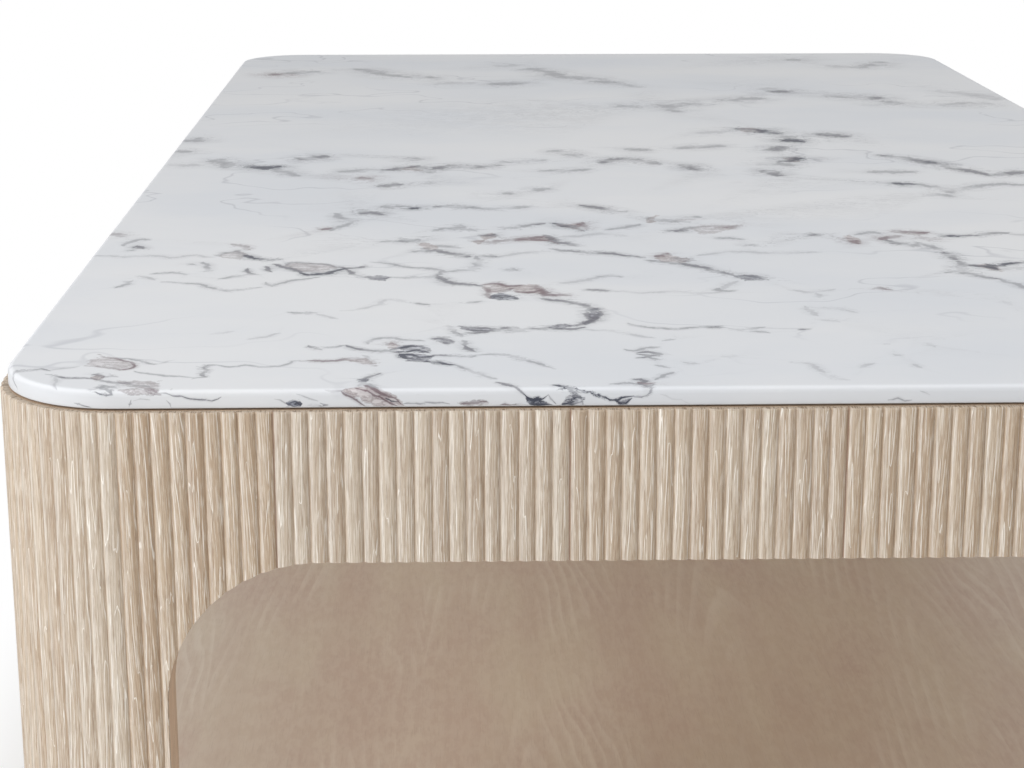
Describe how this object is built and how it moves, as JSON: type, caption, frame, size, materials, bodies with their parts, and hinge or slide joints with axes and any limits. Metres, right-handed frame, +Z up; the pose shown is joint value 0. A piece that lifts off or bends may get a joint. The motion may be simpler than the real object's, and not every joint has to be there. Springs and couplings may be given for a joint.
{
  "type": "cocktail table",
  "caption": "Rectangular cocktail table: a loose veined marble top on a reeded limed-oak casing with round-cornered window openings and a lower shelf.",
  "frame": {"origin": "on the floor, under the middle of the table", "axes": "+Y along the length, away from the end that the picture shows; +X to the right of that view; +Z up"},
  "size_m": [0.762, 1.422, 0.432],
  "materials": {
    "marble": "honed white marble with grey, taupe and wine-brown veins",
    "reeded_oak": "wire-brushed oak with white lime in the grain",
    "smooth_oak": "smooth limed oak",
    "shelf_oak": "smooth limed oak veneer with cathedral grain",
    "plywood": "raw plywood",
    "softwood": "raw planed softwood",
    "beech": "raw beech",
    "pad_silicone": "clear soft silicone",
    "glide_plastic": "matt black nylon"
  },
  "bodies": {
    "casing": {"corner_post_front_left": "smooth_oak", "corner_post_front_right": "smooth_oak", "corner_post_rear_left": "smooth_oak", "corner_post_rear_right": "smooth_oak", "deck_bearer_front": "softwood", "deck_bearer_rear": "softwood", "deck_cleat_front": "softwood", "deck_cleat_left": "softwood", "deck_cleat_rear": "softwood", "deck_cleat_right": "softwood", "deck_panel": "plywood", "floor_glides": "glide_plastic", "reeded_corner_front_left": "reeded_oak", "reeded_corner_front_right": "reeded_oak", "reeded_corner_rear_left": "reeded_oak", "reeded_corner_rear_right": "reeded_oak", "reeded_skin_front": "reeded_oak", "reeded_skin_left": "reeded_oak", "reeded_skin_rear": "reeded_oak", "reeded_skin_right": "reeded_oak", "shelf_bearer_front": "softwood", "shelf_bearer_rear": "softwood", "shelf_cleat_front": "softwood", "shelf_cleat_left": "softwood", "shelf_cleat_rear": "softwood", "shelf_cleat_right": "softwood", "shelf_panel": "shelf_oak", "stone_pads": "pad_silicone", "wall_panel_front": "smooth_oak", "wall_panel_left": "smooth_oak", "wall_panel_rear": "smooth_oak", "wall_panel_right": "smooth_oak", "wall_tongues": "beech"},
    "stone_top": {"marble_top": "marble"}
  },
  "joints": [
    {"name": "top_lift", "type": "slide", "parent": "casing", "child": "stone_top", "axis": [0, 0, 1], "range_m": [0, 0.1]}
  ]
}
